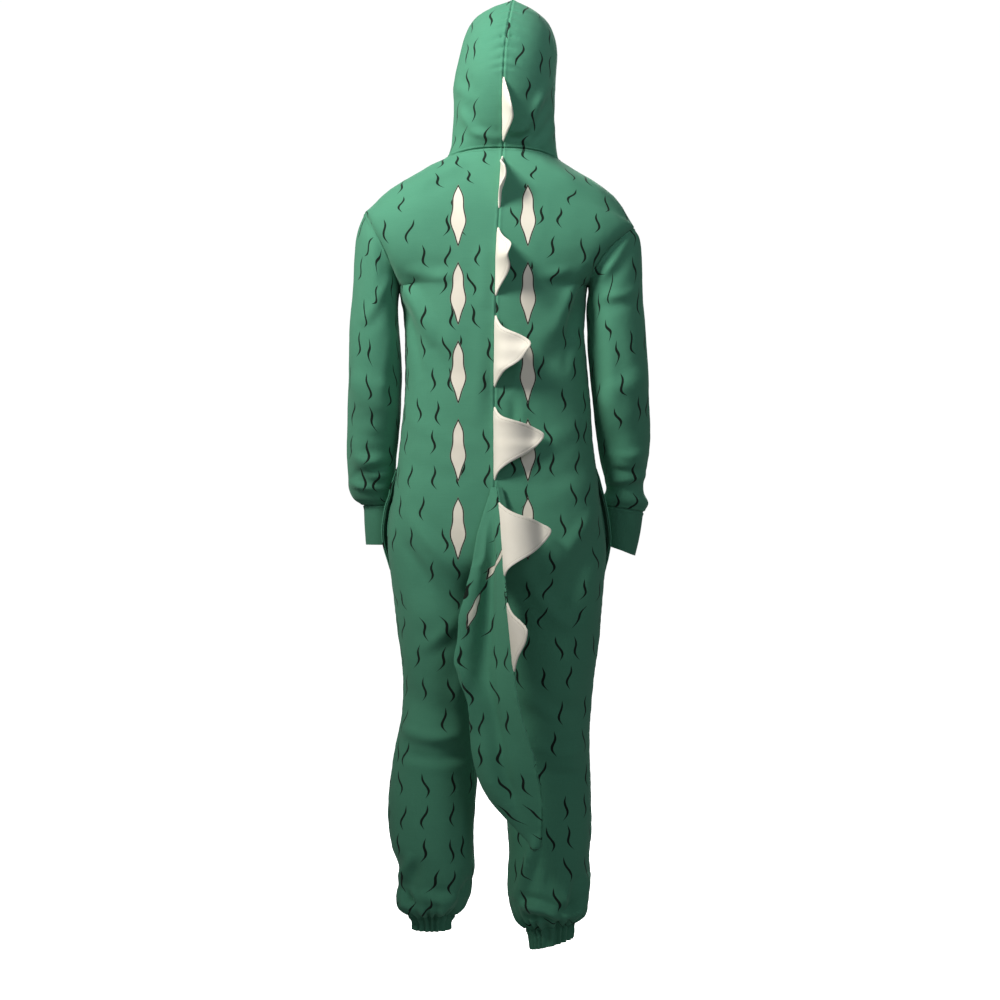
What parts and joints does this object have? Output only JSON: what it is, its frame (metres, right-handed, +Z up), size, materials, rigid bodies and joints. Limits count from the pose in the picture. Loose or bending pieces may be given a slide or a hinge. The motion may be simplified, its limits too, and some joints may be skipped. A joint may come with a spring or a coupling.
{
  "type": "hooded costume jumpsuit",
  "caption": "Worn, hollow hooded jumpsuit costume in green knit with a soft hanging tail, cream back spikes, a front zip, rib cuffs and gathered ankles.",
  "frame": {"origin": "the middle of the neck, level with the tops of the shoulder seams, where the wearer's shoulders carry it", "axes": "+X to the wearer's right, +Y the way the wearer faces, +Z up the standing wearer"},
  "size_m": [0.5788, 0.4198, 1.7987],
  "materials": {
    "green_knit": "brushed knit, matt with a soft sheen, printed with dark strokes",
    "green_rib": "matt knit, folded double or gathered on elastic",
    "cream_felt": "smooth matt fabric over thin foam",
    "pocket_lining": "plain matt lining",
    "zip_tape": "woven tape",
    "zip_metal": "satin plated"
  },
  "bodies": {
    "garment": {"back_left": "green_knit", "back_right": "green_knit", "lower_back_left": "green_knit", "lower_back_right": "green_knit", "leg_back_left": "green_knit", "leg_back_right": "green_knit", "front_left": "green_knit", "front_right": "green_knit", "lower_front_left": "green_knit", "lower_front_right": "green_knit", "leg_front_left": "green_knit", "leg_front_right": "green_knit", "sleeve_left": "green_knit", "sleeve_right": "green_knit", "elbow_sleeve_left": "green_knit", "elbow_sleeve_right": "green_knit", "forearm_sleeve_left": "green_knit", "forearm_sleeve_right": "green_knit", "lower_sleeve_left": "green_knit", "lower_sleeve_right": "green_knit", "hood_left": "green_knit", "hood_right": "green_knit", "tail_left": "green_knit", "tail_right": "green_knit", "cuff_left": "green_rib", "cuff_right": "green_rib", "ankle_casing_left": "green_rib", "ankle_casing_right": "green_rib", "pocket_bag_left": "pocket_lining", "pocket_bag_right": "pocket_lining", "spike_1": "cream_felt", "spike_2": "cream_felt", "spike_3": "cream_felt", "spike_4": "cream_felt", "spike_5": "cream_felt", "spike_6": "cream_felt", "spike_7": "cream_felt", "zip_tape_left": "zip_tape", "zip_tape_right": "zip_tape", "zip_slider": "zip_metal"},
    "pull": {"zip_pull": "zip_metal"}
  },
  "joints": [
    {"name": "pull_swing", "type": "hinge", "parent": "garment", "child": "pull", "pos_m": [-0.00093, 0.10025, -0.07544], "axis": [1, 0, 0], "range_deg": [0, 150]}
  ]
}
